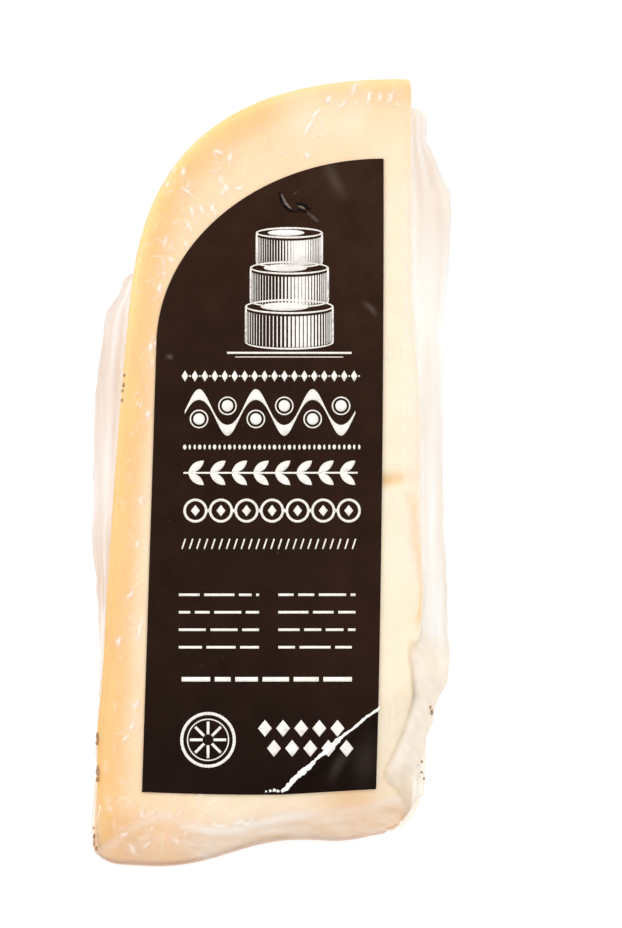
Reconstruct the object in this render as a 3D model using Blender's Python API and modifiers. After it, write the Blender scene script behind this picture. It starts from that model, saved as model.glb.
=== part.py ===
"""A wrapped wedge of cheese, cut from half of a round wheel, with a label stuck on its upper cut face.

The wedge lies on one cut face. Its shape is worked out in wheel coordinates, which all the pieces share:
the wheel's axis lies along X at floor level, and its middle plane is x = 0.
  h     distance from the wheel's middle plane towards its domed rind face, along -X
  r     distance from the wheel's axis; the tip of the wedge is near r = TIP_RADIUS and the rim at WHEEL_RADIUS
  turn  angle about the axis, from 0 on the floor to WEDGE_ANGLE at the upper cut face
"""

import math

import bmesh
import bpy
from mathutils import Matrix, Vector, noise

MM = 0.001

# The wheel that the wedge is cut from
WHEEL_RADIUS = 150.5 * MM
HALF_HEIGHT = 52.7 * MM
DOME_SAG = 9.4 * MM
RIM_START = 108 * MM
RIM_FULLNESS = 3.14
RIM_ROUNDNESS = 2.52
WEDGE_ANGLE = math.radians(15)

# The rind face bulges a little, and flares where it meets the tip
BULGE = 0.5 * MM
BULGE_RADIUS = 40 * MM
BULGE_HALF = 7 * MM
FLARE = 0.7 * MM
FLARE_START = 36 * MM
FLARE_END = 22 * MM

# The tip is trimmed short of the axis, aslant, and rounds down to the floor
TIP_RADIUS = 18.4 * MM
TIP_SLANT = 6.9 * MM
TIP_CORNER = 6 * MM
RIGHT_CORNER_CUT = 4.2 * MM
LEFT_CORNER_CUT = 2.5 * MM
TIP_ROUNDING = 10.5 * MM
TIP_WAVE = 0.95 * MM
TIP_WAVE_LENGTH = 32 * MM
TIP_WAVE_PLACE = 30.5 * MM
THINNEST = 1.0 * MM

# One lower corner is pressed down past a crease that crosses the label
CREASE_RIGHT = Vector((5.9, 44.6)) * MM
CREASE_LEFT = Vector((21.8, 30.8)) * MM
CORNER_TILT = math.radians(21)
CREASE_SOFTNESS = 0.5 * MM
CREASE_HALF_WIDTH = 0.8 * MM

# The cut side on the middle plane swells out a little: (r, distance out), in mm
SWELL = [(46, 0.0), (52, 0.6), (60, 1.6), (64, 1.9), (71, 1.5), (79, 1.3), (86, 1.5), (93, 1.5), (99, 1.1),
         (106, 0.6), (115, 0.0)]

# Dents under the film
DENT_DEPTH = 0.35 * MM
DENT_LENGTH = 17 * MM

EDGE_ROUNDING = 1.3 * MM
GRID_STEP = 4.5 * MM
TURN_STEPS = 8

# Pieces that touch keep this gap
GAP = 0.3 * MM

# The label: its right edge drifts in towards the tip, its bottom edge bows down a little and rises to the right
# past the crease, and one corner is a quarter of an ellipse
LABEL_THICKNESS = 0.25 * MM
LABEL_RIGHT = 4.8 * MM
LABEL_RIGHT_DRIFT = 1.35 * MM
LABEL_LEFT_TOP = 42.8 * MM
LABEL_LEFT_BOTTOM = 44.9 * MM
LABEL_BOTTOM = 30.8 * MM
LABEL_BOTTOM_RISE = 0.7 * MM
LABEL_BOW = 0.45 * MM
LABEL_ARC_START = 105.0 * MM
LABEL_TOP = 136.6 * MM
LABEL_CORNER = 0.5 * MM
LABEL_STEP = 4.0 * MM

# Fins of film at the sides, at half the wedge's height and higher near the rim:
# (r, distance of the outer edge from the middle plane), in mm
FIN_LEVEL = 0.5
FIN_RISE = 0.13
FIN_RISE_START = 134 * MM
FIN_RISE_END = 149 * MM
FIN_THICKNESS = 0.5 * MM
FIN_STEP = 3.5 * MM
FIN_COLUMNS = 4
FIN_WAVE = 0.7 * MM
FIN_WAVE_LENGTH = 31 * MM
RIGHT_FIN = [(30.2, 1.0), (31.0, 1.8), (36.2, 2.0), (40.4, 2.1), (43.0, 3.2), (45.7, 3.6), (48.2, 4.5),
             (50.4, 5.7), (54.6, 6.15), (62.5, 5.9), (69.1, 5.85), (74.8, 5.5), (87.6, 5.35), (99.6, 5.4),
             (110.8, 5.55), (117.6, 6.25), (124.4, 6.85), (131.2, 7.15), (134.9, 7.1), (138.6, 5.1),
             (142.4, 3.6), (143.6, 2.9), (147.6, 2.9), (149.2, 1.2)]
LEFT_FIN = [(47.0, 52.4), (55.4, 52.4), (62.4, 52.8), (66.9, 53.0), (69.4, 53.6), (75.0, 54.0),
            (82.6, 53.9), (92.8, 53.9), (98.0, 53.7), (103.0, 53.2), (108.2, 52.7), (111.3, 52.5),
            (114.0, 51.8), (116.0, 50.6), (117.9, 49.6), (119.7, 49.1), (120.8, 47.6)]


def smooth_step(value, low, high):
    """0 below low, 1 above high and an even S between them."""
    share = min(1.0, max(0.0, (value - low) / (high - low)))
    return share * share * (3 - 2 * share)


def between_stations(stations, r):
    """The distance at r, on straight lines between the stations."""
    if r <= stations[0][0] * MM:
        return stations[0][1] * MM
    for (r_low, low), (r_high, high) in zip(stations, stations[1:]):
        if r <= r_high * MM:
            return (low + (high - low) * (r / MM - r_low) / (r_high - r_low)) * MM
    return stations[-1][1] * MM


def at_wheel(h, r, turn):
    """The point at those wheel coordinates."""
    return Vector((-h, r * math.cos(turn), r * math.sin(turn)))


def dome(r):
    """Half the wheel's height at r, before its rim rounds off."""
    bulge = BULGE * math.exp(-(((r - BULGE_RADIUS) / BULGE_HALF) ** 2))
    flare = FLARE * (1 - smooth_step(r, FLARE_END, FLARE_START))
    return HALF_HEIGHT - DOME_SAG * (r / WHEEL_RADIUS) ** 2 + bulge + flare


def rim_point(turn):
    """A point (h, r) of the rounded rim, for a turn from 0 at the domed face to a quarter at the middle plane."""
    r = RIM_START + (WHEEL_RADIUS - RIM_START) * math.sin(turn) ** (2 / RIM_FULLNESS)
    return Vector((dome(r) * math.cos(turn) ** (2 / RIM_ROUNDNESS), r))


def rind_height(r):
    """Half the wheel's height at r, its rim's rounding included."""
    past = max(0.0, (r - RIM_START) / (WHEEL_RADIUS - RIM_START))
    return dome(r) * max(0.0, 1 - past**RIM_FULLNESS) ** (1 / RIM_ROUNDNESS)


def tip_edge(h):
    """Where the trimmed tip ends: aslant, wavy, and with both its corners rounded."""
    wave = TIP_WAVE * math.sin(2 * math.pi * (h - TIP_WAVE_PLACE) / TIP_WAVE_LENGTH)
    fading = smooth_step(h, 4 * MM, 16 * MM)
    edge = TIP_RADIUS + TIP_SLANT * (1 - h / HALF_HEIGHT) - wave * fading
    past_right = max(0.0, 1 - h / TIP_CORNER)
    past_left = max(0.0, 1 - (dome(TIP_RADIUS) - h) / TIP_CORNER)
    return edge + RIGHT_CORNER_CUT * past_right**3 + LEFT_CORNER_CUT * past_left**3


def past_crease(h, r):
    """How far a point of the cut face lies beyond the crease, towards the pressed corner."""
    along = (CREASE_LEFT - CREASE_RIGHT).normalized()
    across = Vector((along.y, -along.x))
    return (Vector((h, r)) - CREASE_RIGHT).dot(across)


def corner_drop(h, r):
    """How far the pressed corner lies below the flat cut face."""
    past = past_crease(h, r)
    eased = (math.hypot(past, CREASE_SOFTNESS) + past) / 2
    return math.tan(CORNER_TILT) * eased


def dent(h, r):
    """Shallow hollows and rises of the cut face."""
    place = Vector((h, r, 0)) / DENT_LENGTH
    away_from_tip = smooth_step(r, 30 * MM, 48 * MM)
    return DENT_DEPTH * noise.noise(place) * away_from_tip


def top_turn(h, r):
    """The turn at which the upper cut face lies, lower at the tip and past the crease."""
    flat = r * math.sin(WEDGE_ANGLE)
    into_tip = min(1.0, max(0.0, (r - tip_edge(h)) / TIP_ROUNDING))
    tip = flat * math.sqrt(max(0.0, 1 - (1 - into_tip) ** 2))
    pressed = flat - corner_drop(h, r)
    height = max(THINNEST, min(tip, pressed)) + dent(h, r)
    return math.asin(min(height, flat + DENT_DEPTH) / r)


def swell(r, share):
    """How far the cut side stands out of the middle plane, at a share of the height from floor to upper face."""
    return between_stations(SWELL, r) * smooth_step(share, 0.15, 0.6)


def face_outline():
    """The wedge's cut face as a loop of (h, r), from the tip up the middle plane, round the rim and back."""
    quarter = math.pi / 2
    rim_steps, rind_steps, tip_steps = 26, 24, 20
    right = [Vector((0, tip_edge(0)))]
    rim = [rim_point(quarter * (1 - i / rim_steps)) for i in range(rim_steps + 1)]
    left = []
    for i in range(1, rind_steps):
        r = RIM_START + (tip_edge(HALF_HEIGHT) - RIM_START) * i / rind_steps
        left.append(Vector((rind_height(r), r)))
    tip = []
    for i in range(tip_steps):
        h = dome(TIP_RADIUS) * (0.5 + 0.5 * math.cos(math.pi * i / tip_steps))
        tip.append(Vector((h, tip_edge(h))))
    return right + rim + left + tip


def label_bottom(h):
    """Where the label's bottom edge runs."""
    right = LABEL_RIGHT + LABEL_RIGHT_DRIFT
    past = max(0.0, (CREASE_LEFT.x - h) / (CREASE_LEFT.x - right))
    bow = LABEL_BOW * math.sin(math.pi * (h - right) / (LABEL_LEFT_BOTTOM - right))
    return LABEL_BOTTOM + LABEL_BOTTOM_RISE * past - bow


def label_outline():
    """The label's edge as a loop of (h, r), with a quarter of an ellipse at its rounded corner."""
    quarter = math.pi / 2
    arc_steps = 24
    right_steps = 6
    bottom_steps = 12
    corner = LABEL_CORNER
    right_bottom = LABEL_BOTTOM + LABEL_BOTTOM_RISE
    loop = []
    for i in range(right_steps + 1):
        share = i / right_steps
        r = right_bottom + corner + (LABEL_TOP - right_bottom - 2 * corner) * share
        loop.append(Vector((LABEL_RIGHT + LABEL_RIGHT_DRIFT * (1 - share) ** 2, r)))
    for i in range(1, arc_steps + 1):
        turn = quarter * (1 - i / arc_steps)
        h = LABEL_RIGHT + (LABEL_LEFT_TOP - LABEL_RIGHT) * math.cos(turn)
        r = LABEL_ARC_START + (LABEL_TOP - LABEL_ARC_START) * math.sin(turn)
        loop.append(Vector((h, r)))
    loop.append(Vector((LABEL_LEFT_BOTTOM, LABEL_BOTTOM + corner)))
    left_end, right_end = LABEL_LEFT_BOTTOM - corner, LABEL_RIGHT + LABEL_RIGHT_DRIFT + corner
    for i in range(bottom_steps + 1):
        h = left_end + (right_end - left_end) * i / bottom_steps
        loop.append(Vector((h, label_bottom(h))))
    return loop


def cut_into_grid(mesh, step, low, high):
    """Cuts every face at even steps along X and Y, so that a flat face has points to shape it by."""
    for axis, normal in ((0, Vector((1, 0, 0))), (1, Vector((0, 1, 0)))):
        count = int((high[axis] - low[axis]) / step)
        for i in range(1, count + 1):
            place = Vector((0, 0, 0))
            place[axis] = low[axis] + i * step
            everything = mesh.verts[:] + mesh.edges[:] + mesh.faces[:]
            bmesh.ops.bisect_plane(mesh, geom=everything, plane_co=place, plane_no=normal, dist=0.02 * MM)


def cut_at_crease(mesh):
    """Cuts every face along both sides of the crease, so that it bends there and nowhere else."""
    middle = at_wheel(*CREASE_RIGHT, 0)
    normal = (at_wheel(*CREASE_LEFT, 0) - middle).cross(Vector((0, 0, 1))).normalized()
    for side in (-1, 1):
        place = middle + normal * CREASE_HALF_WIDTH * side
        everything = mesh.verts[:] + mesh.edges[:] + mesh.faces[:]
        bmesh.ops.bisect_plane(mesh, geom=everything, plane_co=place, plane_no=normal, dist=0.05 * MM)


def flat_face(mesh, loop):
    """One face on the floor, for a loop of (h, r)."""
    return mesh.faces.new([mesh.verts.new(at_wheel(p.x, p.y, 0)) for p in loop])


def round_sharp_edges(mesh):
    """Rounds each edge where two sides meet at more than about 40 degrees."""
    sharp = [e for e in mesh.edges if e.is_manifold and e.calc_face_angle() > math.radians(40)]
    bmesh.ops.bevel(
        mesh,
        geom=sharp,
        offset=EDGE_ROUNDING,
        segments=2,
        profile=0.5,
        affect="EDGES",
        clamp_overlap=True,
    )


def material(name, colour, roughness, alpha=1.0):
    made = bpy.data.materials.new(name)
    made.use_nodes = True
    shader = made.node_tree.nodes["Principled BSDF"]
    shader.inputs["Base Color"].default_value = (*colour, 1)
    shader.inputs["Roughness"].default_value = roughness
    shader.inputs["Metallic"].default_value = 0
    shader.inputs["Alpha"].default_value = alpha
    return made


def piece(name, mesh, collection, parent, finish):
    """An object of that mesh, in wheel coordinates, carried by the wheel's axis."""
    data = bpy.data.meshes.new(name)
    bmesh.ops.recalc_face_normals(mesh, faces=mesh.faces[:])
    mesh.to_mesh(data)
    mesh.free()
    data.shade_smooth()
    data.set_sharp_from_angle(angle=math.radians(35))
    made = bpy.data.objects.new(name, data)
    made.data.materials.append(finish)
    made.parent = parent
    collection.objects.link(made)
    return made


def make_wedge(collection, parent):
    """The cheese in its tight film: the cut face turned about the wheel's axis, then rounded and shaped."""
    mesh = bmesh.new()
    face = flat_face(mesh, face_outline())
    bmesh.ops.spin(
        mesh,
        geom=[face, *face.edges, *face.verts],
        cent=(0, 0, 0),
        axis=(1, 0, 0),
        angle=WEDGE_ANGLE,
        steps=TURN_STEPS,
        use_duplicate=False,
    )
    bmesh.ops.remove_doubles(mesh, verts=mesh.verts[:], dist=0.01 * MM)
    bmesh.ops.recalc_face_normals(mesh, faces=mesh.faces[:])
    round_sharp_edges(mesh)
    cut_into_grid(mesh, GRID_STEP, (-HALF_HEIGHT, TIP_RADIUS), (0, WHEEL_RADIUS))
    cut_at_crease(mesh)
    for vertex in mesh.verts:
        h = -vertex.co.x
        r = math.hypot(vertex.co.y, vertex.co.z)
        share = math.atan2(vertex.co.z, vertex.co.y) / WEDGE_ANGLE
        vertex.co = at_wheel(h, r, share * top_turn(h, r))
        if h < 2 * EDGE_ROUNDING:
            vertex.co.x += swell(r, share)
    return piece("cheese_wedge", mesh, collection, parent, material("cheese", (0.93, 0.70, 0.38), 0.35))


def make_label(collection, parent):
    """The label: a thin sheet that lies on the upper face and bends with it at the crease."""
    mesh = bmesh.new()
    flat_face(mesh, label_outline())
    cut_into_grid(mesh, LABEL_STEP, (-LABEL_LEFT_BOTTOM, LABEL_BOTTOM), (0, LABEL_TOP))
    cut_at_crease(mesh)
    bmesh.ops.triangulate(mesh, faces=mesh.faces[:])
    lift = Vector((0, -math.sin(WEDGE_ANGLE), math.cos(WEDGE_ANGLE))) * GAP
    for vertex in mesh.verts:
        h, r = -vertex.co.x, vertex.co.y
        vertex.co = at_wheel(h, r, top_turn(h, r)) + lift
    label = piece("label", mesh, collection, parent, material("label_paper", (0.035, 0.021, 0.016), 0.4))
    facing_up = label.data.polygons[0].normal.z > 0
    sheet = label.modifiers.new("thickness", "SOLIDIFY")
    sheet.thickness = LABEL_THICKNESS
    sheet.offset = 1 if facing_up else -1
    sheet.use_even_offset = False
    return label


def fin_level(r):
    """The share of the wedge's height at which a fin stands out."""
    return FIN_LEVEL + FIN_RISE * smooth_step(r, FIN_RISE_START, FIN_RISE_END)


def fin_rows(stations):
    """The fin's stations in metres, with rows between those that lie far apart."""
    rows = []
    for (r_low, low), (r_high, high) in zip(stations, stations[1:]):
        count = max(1, round((r_high - r_low) * MM / FIN_STEP))
        for i in range(count):
            share = i / count
            rows.append(((r_low + (r_high - r_low) * share) * MM, (low + (high - low) * share) * MM))
    rows.append((stations[-1][0] * MM, stations[-1][1] * MM))
    return rows


def make_fin(name, collection, parent, stations, side):
    """A fin of doubled film that stands out of one side: side is 1 at the middle plane and -1 at the rind."""
    mesh = bmesh.new()
    rows = []
    for r, outer in fin_rows(stations):
        inner = GAP + (swell(r, fin_level(r)) if side > 0 else rind_height(r))
        point = at_wheel(0, r, fin_level(r) * WEDGE_ANGLE)
        row = []
        for i in range(FIN_COLUMNS + 1):
            share = i / FIN_COLUMNS
            rise = FIN_WAVE * share * math.sin(2 * math.pi * r / FIN_WAVE_LENGTH)
            x = side * (inner + (outer - inner) * share)
            row.append(mesh.verts.new(Vector((x, point.y, point.z + rise))))
        rows.append(row)
    for low, high in zip(rows, rows[1:]):
        for i in range(FIN_COLUMNS):
            mesh.faces.new((low[i], low[i + 1], high[i + 1], high[i]))
    made = piece(name, mesh, collection, parent, material(name + "_film", (0.96, 0.93, 0.90), 0.15, 0.4))
    sheet = made.modifiers.new("thickness", "SOLIDIFY")
    sheet.thickness = FIN_THICKNESS
    sheet.offset = 0
    return made


def stand_on_origin(parent, pieces):
    """Moves the wheel's axis so that the middle of the whole's underside is the origin."""
    bpy.context.view_layer.update()
    graph = bpy.context.evaluated_depsgraph_get()
    corners = []
    for made in pieces:
        evaluated = made.evaluated_get(graph)
        corners += [evaluated.matrix_world @ Vector(corner) for corner in evaluated.bound_box]
    low = Vector(min(c[i] for c in corners) for i in range(3))
    high = Vector(max(c[i] for c in corners) for i in range(3))
    parent.location = -Vector(((low.x + high.x) / 2, (low.y + high.y) / 2, low.z))


def main():
    for old in list(bpy.data.objects):
        bpy.data.objects.remove(old)
    collection = bpy.data.collections.new("wrapped_cheese_wedge")
    bpy.context.scene.collection.children.link(collection)
    axis = bpy.data.objects.new("wheel_axis", None)
    axis.matrix_world = Matrix.Identity(4)
    collection.objects.link(axis)
    pieces = [
        make_wedge(collection, axis),
        make_label(collection, axis),
        make_fin("film_fin_right", collection, axis, RIGHT_FIN, 1),
        make_fin("film_fin_left", collection, axis, LEFT_FIN, -1),
    ]
    stand_on_origin(axis, pieces)


main()
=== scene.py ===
"""The looks of a wrapped wedge of cheese: pale paste with an amber rim, a clear film drawn tight over it with
wrinkles, fins at its sides and a crumpled corner, and a dark label with a pale print.

Shapes are worked out in millimetres, in the wheel coordinates that the solids share:
  h     distance from the wheel's middle plane towards its domed rind face, along -X
  r     distance from the wheel's axis, which lies along X at floor level
  turn  angle about that axis, from 0 on the floor to WEDGE_ANGLE at the upper cut face
"""

import math

import bmesh
import bpy
import numpy as np
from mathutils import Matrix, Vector, noise


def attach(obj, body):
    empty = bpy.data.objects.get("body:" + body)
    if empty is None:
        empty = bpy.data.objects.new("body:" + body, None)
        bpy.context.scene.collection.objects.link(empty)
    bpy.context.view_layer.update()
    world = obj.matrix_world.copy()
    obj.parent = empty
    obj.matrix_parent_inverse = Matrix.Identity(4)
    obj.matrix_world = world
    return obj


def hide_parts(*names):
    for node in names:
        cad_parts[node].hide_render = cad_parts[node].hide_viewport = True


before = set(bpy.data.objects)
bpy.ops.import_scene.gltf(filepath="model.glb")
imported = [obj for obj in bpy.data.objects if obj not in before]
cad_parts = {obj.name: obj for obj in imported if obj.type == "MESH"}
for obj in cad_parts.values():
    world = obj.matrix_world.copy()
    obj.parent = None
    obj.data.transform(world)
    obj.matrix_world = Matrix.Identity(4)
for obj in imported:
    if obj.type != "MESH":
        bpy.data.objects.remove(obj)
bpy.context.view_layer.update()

MM = 0.001
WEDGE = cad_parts["cheese_wedge"].data

# The wheel that the wedge is cut from, as the solids have it
WHEEL_RADIUS = 150.5
HALF_HEIGHT = 52.7
DOME_SAG = 9.4
RIM_START = 108.0
RIM_FULLNESS = 3.14
RIM_ROUNDNESS = 2.52
WEDGE_ANGLE = math.radians(15)
FACE_UP = np.array((0.0, -math.sin(WEDGE_ANGLE), math.cos(WEDGE_ANGLE)))
BULGE = 0.5
BULGE_RADIUS = 40.0
BULGE_HALF = 7.0
FLARE = 0.7
FLARE_START = 36.0
FLARE_END = 22.0
TIP_RADIUS = 18.4
TIP_SLANT = 6.9
TIP_CORNER = 6.0
RIGHT_CORNER_CUT = 4.2
LEFT_CORNER_CUT = 2.5
TIP_ROUNDING = 10.5
TIP_WAVE = 0.95
TIP_WAVE_LENGTH = 32.0
TIP_WAVE_PLACE = 30.5
THINNEST = 1.0
CREASE_RIGHT = (5.9, 44.6)
CREASE_LEFT = (21.8, 30.8)
CORNER_TILT = math.radians(21)
CREASE_SOFTNESS = 0.5
SWELL = ((46, 0.0), (52, 0.6), (60, 1.6), (64, 1.9), (71, 1.5), (79, 1.3), (86, 1.5), (93, 1.5), (99, 1.1),
         (106, 0.6), (115, 0.0))
DENT_DEPTH = 0.35
DENT_LENGTH = 17.0
EDGE_ROUNDING = 1.2

# The label, as the solids have it
LABEL_RIGHT = 4.8
LABEL_RIGHT_DRIFT = 1.35
LABEL_LEFT_TOP = 42.8
LABEL_LEFT_BOTTOM = 44.9
LABEL_BOTTOM = 30.8
LABEL_BOTTOM_RISE = 0.7
LABEL_BOW = 0.45
LABEL_ARC_START = 105.0
LABEL_TOP = 136.6
LABEL_LIFT = 0.08
LABEL_THICKNESS = 0.14
LABEL_STEP = 0.36
LABEL_ARC_ROWS = 110
LABEL_LAST_TURN = 88.9

# Painted reflection streaks on the label, as (path of (h, r), half width, strength)
LABEL_PAINTED_REFLECTIONS = (
    (((14.5, 136.2), (13.1, 133.0), (11.4, 130.2)), 0.9, 0.12),
    (((8.0, 112.2), (7.0, 111.4), (6.1, 110.2)), 0.35, 0.22),
    (((40.9, 103.3), (40.2, 103.0)), 0.3, 0.35),
    (((13.6, 33.0), (12.6, 35.2), (10.8, 37.8)), 0.8, 0.09),
    (((8.2, 32.6), (8.0, 36.0), (7.2, 39.6)), 1.8, 0.06),
)
# Painted shadow and highlights where the label curls, as (path, width, shade): shade is 0 for painted shadow,
# 1 for a dim painted highlight and 2 for a bright painted highlight
CURL = ((21.8, 130.9), (20.1, 128.4), (17.7, 128.2), (15.7, 126.1))
CURL_SHADING = (
    (((22.3, 130.8), (21.9, 129.3), (21.2, 128.2), (20.3, 127.6), (19.3, 127.5)), 0.5, 0),
    (((19.4, 128.9), (18.6, 128.8), (17.9, 128.5), (17.1, 127.9)), 0.6, 0),
    (((19.3, 127.9), (18.6, 127.8), (17.8, 127.4)), 0.4, 0),
    (((17.6, 127.4), (16.9, 126.8), (16.3, 126.3), (15.7, 125.8)), 0.65, 1),
    (((20.1, 130.4), (19.6, 130.7), (19.2, 131.0)), 0.24, 1),
    (((21.9, 130.5), (21.6, 129.8), (21.3, 129.1), (20.7, 128.4), (20.2, 128.0)), 0.44, 2),
    (((19.1, 128.5), (18.5, 128.3), (18.0, 128.0)), 0.42, 2),
)
CREASE_FLECKS = ((22.4, 30.95, 0.26), (23.0, 31.05, 0.34), (23.7, 31.0, 0.24), (24.4, 30.95, 0.16))

# The fins of film, as the solids have them: (r, distance of the outer edge from the middle plane)
FIN_LEVEL = 0.5
FIN_RISE = 0.13
FIN_RISE_START = 134.0
FIN_RISE_END = 149.0
FIN_WAVE = 0.7
FIN_WAVE_LENGTH = 31.0
RIGHT_FIN = ((30.2, 1.0), (31.0, 1.8), (36.2, 2.0), (40.4, 2.1), (43.0, 3.2), (45.7, 3.6), (48.2, 4.5),
             (50.4, 5.7), (54.6, 6.15), (62.5, 5.9), (69.1, 5.85), (74.8, 5.5), (87.6, 5.35), (99.6, 5.4),
             (110.8, 5.55), (117.6, 6.25), (124.4, 6.85), (131.2, 7.15), (134.9, 7.1), (138.6, 5.1),
             (142.4, 3.6), (143.6, 2.9), (147.6, 2.9), (149.2, 1.2))
LEFT_FIN = ((47.0, 52.4), (55.4, 52.4), (62.4, 52.8), (66.9, 53.0), (69.4, 53.6), (75.0, 54.0), (82.6, 53.9),
            (92.8, 53.9), (98.0, 53.7), (103.0, 53.2), (108.2, 52.7), (111.3, 52.5), (114.0, 51.8),
            (116.0, 50.6), (117.9, 49.6), (119.7, 49.1), (120.8, 47.6))
FIN_STEP = 0.5
FIN_COLUMNS = 18
FILM_THICKNESS = 0.12

# The film lies on the solid's surface, and the cheese lies just inside it
FILM_GAP = 0.12
FILM_GRID = 0.8
CHEESE_GRID = 0.8
FINE_CUTS = 2

# Marks on the cheese, as (h, r): a hollow across the right strip and the edge of a lobe, both with painted
# shade
HOLLOW_R = 83.0
HOLLOW_HALF = 1.1
LOBE = ((2.6, 81.2), (1.2, 80.2), (0.6, 78.2), (0.4, 72.4), (-0.6, 69.2), (-1.3, 65.0), (-1.1, 61.5),
        (-0.4, 58.1))
LOBE_SHADE_HALF = 0.75
LOBE_GROOVE = 0.35

# The wrinkles of the film on the face, where milky white paints their highlights, as short paths of (h, r)
RIM_WRINKLES = (
    ((9.1, 150.0), (9.6, 148.7), (10.1, 147.3)), ((11.1, 146.6), (12.4, 144.9)),
    ((13.6, 147.1), (14.5, 146.1)), ((15.6, 145.2), (16.8, 143.5)),
    ((16.6, 143.5), (17.2, 142.2), (18.3, 140.6)), ((15.5, 140.8), (15.0, 140.3)),
    ((17.7, 137.7), (17.5, 136.9)), ((7.2, 148.3), (7.4, 145.9)),
    ((5.2, 147.9), (5.6, 146.2)), ((3.0, 148.3), (3.6, 147.0), (4.4, 145.9)), ((2.7, 145.9), (2.2, 145.6)),
)
ARC_WRINKLES = (
    ((33.3, 137.9), (31.9, 137.4)), ((30.4, 137.6), (30.7, 136.0)), ((38.3, 135.0), (38.4, 133.8)),
    ((40.8, 132.7), (41.3, 131.8)), ((37.6, 132.7), (37.9, 131.6)),
    ((38.8, 131.8), (37.9, 131.2), (36.9, 130.3)), ((32.2, 133.7), (31.8, 132.9), (31.4, 132.1)),
    ((32.4, 130.5), (30.9, 131.3)), ((31.4, 132.3), (30.9, 131.0)), ((29.6, 131.6), (28.4, 131.6)),
    ((37.1, 128.6), (36.7, 126.9)), ((35.6, 128.8), (35.1, 127.2)), ((33.7, 128.9), (33.2, 127.4)),
    ((37.9, 126.2), (37.4, 125.1), (36.7, 124.0)), ((41.3, 123.7), (41.6, 121.3)),
    ((38.2, 122.8), (37.7, 121.5)), ((40.9, 120.0), (39.9, 119.3)), ((41.7, 117.4), (41.4, 116.8)),
    ((42.2, 115.4), (42.4, 114.1)),
)
STRIP_WRINKLES = (
    ((43.5, 105.5), (43.9, 104.0)), ((42.9, 105.8), (43.0, 105.0)), ((43.4, 102.6), (43.4, 101.6)),
    ((44.1, 94.2), (44.1, 92.9)), ((45.2, 79.9), (45.2, 78.2)), ((45.6, 72.5), (46.0, 71.0)),
    ((46.4, 64.2), (47.5, 62.5)), ((44.9, 59.7), (45.3, 57.8), (46.0, 55.6)), ((48.6, 56.4), (49.1, 54.9)),
    ((45.7, 46.0), (46.4, 44.0)), ((46.4, 42.2), (46.8, 41.0)), ((47.3, 40.2), (47.9, 39.2)),
    ((3.6, 104.0), (3.8, 103.0)),
)
# A painted highlight streak down the right strip, as (h, r)
SOFT_STREAK = ((3.9, 48.0), (3.5, 44.0), (3.3, 40.2))
TIP_FOLD = ((51.0, 22.8), (47.6, 25.4), (44.7, 27.2), (41.9, 28.1), (38.9, 27.2), (36.8, 26.2), (33.7, 25.6),
            (30.3, 25.6), (26.1, 26.6), (20.4, 28.1), (16.8, 28.3), (8.7, 29.4), (3.0, 31.0))
# Painted highlight flecks on the folds over the tip, as (h, r)
TIP_FLECKS = ((44.6, 26.4), (43.4, 25.2), (41.0, 27.2), (38.8, 25.9), (37.4, 25.2), (36.6, 24.2),
              (49.8, 25.6), (48.6, 23.6), (47.2, 22.4), (44.8, 21.8), (42.0, 22.2), (50.4, 28.4),
              (39.6, 23.4), (34.2, 24.2))
AMBER_STREAKS = (((14.3, 27.5), (11.4, 28.0), (7.9, 28.7)), ((19.8, 25.4), (16.6, 26.4), (13.8, 27.0)),
                 ((40.0, 24.2), (36.5, 23.2), (33.0, 22.9)), ((28.0, 23.6), (24.5, 24.4)))

# The crumpled film at the lower right, as (r, h): its edge on the face, and its edge below the fin
BUNCH_START = ((24.6, 5.0), (25.6, 3.4), (27.2, 1.9), (29.5, 1.6), (31.4, 2.8), (33.0, 5.2), (34.5, 5.2),
               (36.6, 4.0), (40.5, 2.2), (44.3, 0.9), (46.8, 0.1), (53.1, 1.1), (56.6, 0.9), (58.4, -0.4))
BUNCH_END = ((24.6, 4.6), (25.0, 2.9), (25.8, 1.5), (27.0, 0.3), (28.2, -0.5), (29.4, -1.0), (30.2, -1.2))
BUNCH_STEP = 0.3
BUNCH_COLUMNS = 44

# Brown specks: (r, turn in degrees, inset, half width, half length) at the rind's edge, and
# (r, distance out, lift, half length) on the right fin
RIND_SPECKS = ((40.0, 14.3, 0.2, 0.24, 0.75), (38.9, 14.4, 0.1, 0.2, 0.4), (34.3, 14.3, 0.2, 0.26, 0.85),
               (32.9, 14.4, 0.15, 0.22, 0.45), (24.9, 12.0, 0.1, 0.14, 0.24), (23.5, 10.8, 0.3, 0.2, 0.5),
               (22.4, 9.4, 0.3, 0.22, 0.6), (21.6, 8.3, 0.7, 0.24, 0.4), (100.1, 14.8, 0.4, 0.2, 0.3),
               (98.5, 14.8, 0.4, 0.17, 0.4), (97.5, 14.8, 0.3, 0.2, 0.22), (95.9, 14.8, 0.35, 0.2, 0.26))
FIN_SPECKS = ((44.8, 2.9, 1.9, 0.3), (44.0, 3.2, 1.7, 0.45), (35.9, 1.45, 1.0, 0.24), (34.1, 1.4, 1.0, 0.2),
              (33.1, 1.8, 0.8, 0.24))

SPECK_HEIGHT = 0.22
FIN_SPECK_WIDTH = 0.22
FIN_SPECK_HEIGHT = 0.2

# The camera
PHOTO_HEIGHT = 928
MM_PER_PIXEL = 0.1665
AIM_H = 16.98
AIM_R = 85.2
CAMERA_ELEVATION = math.radians(70)
CAMERA_DISTANCE = 600.0
SENSOR_HEIGHT = 24.0

# Softboxes, as (name, place, size, strength)
LIGHT_AIM = (0, 0, 10)
SOFTBOXES = (("key", (520, 420, 800), 190, 3.2), ("fill", (-620, 260, 620), 900, 2.2),
             ("low_left", (-700, -380, 330), 160, 1.2))
DOME_LIGHT = 0.8
FLOOR_LIGHT = 0.72
FLOOR_DROP = 0.2

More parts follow.
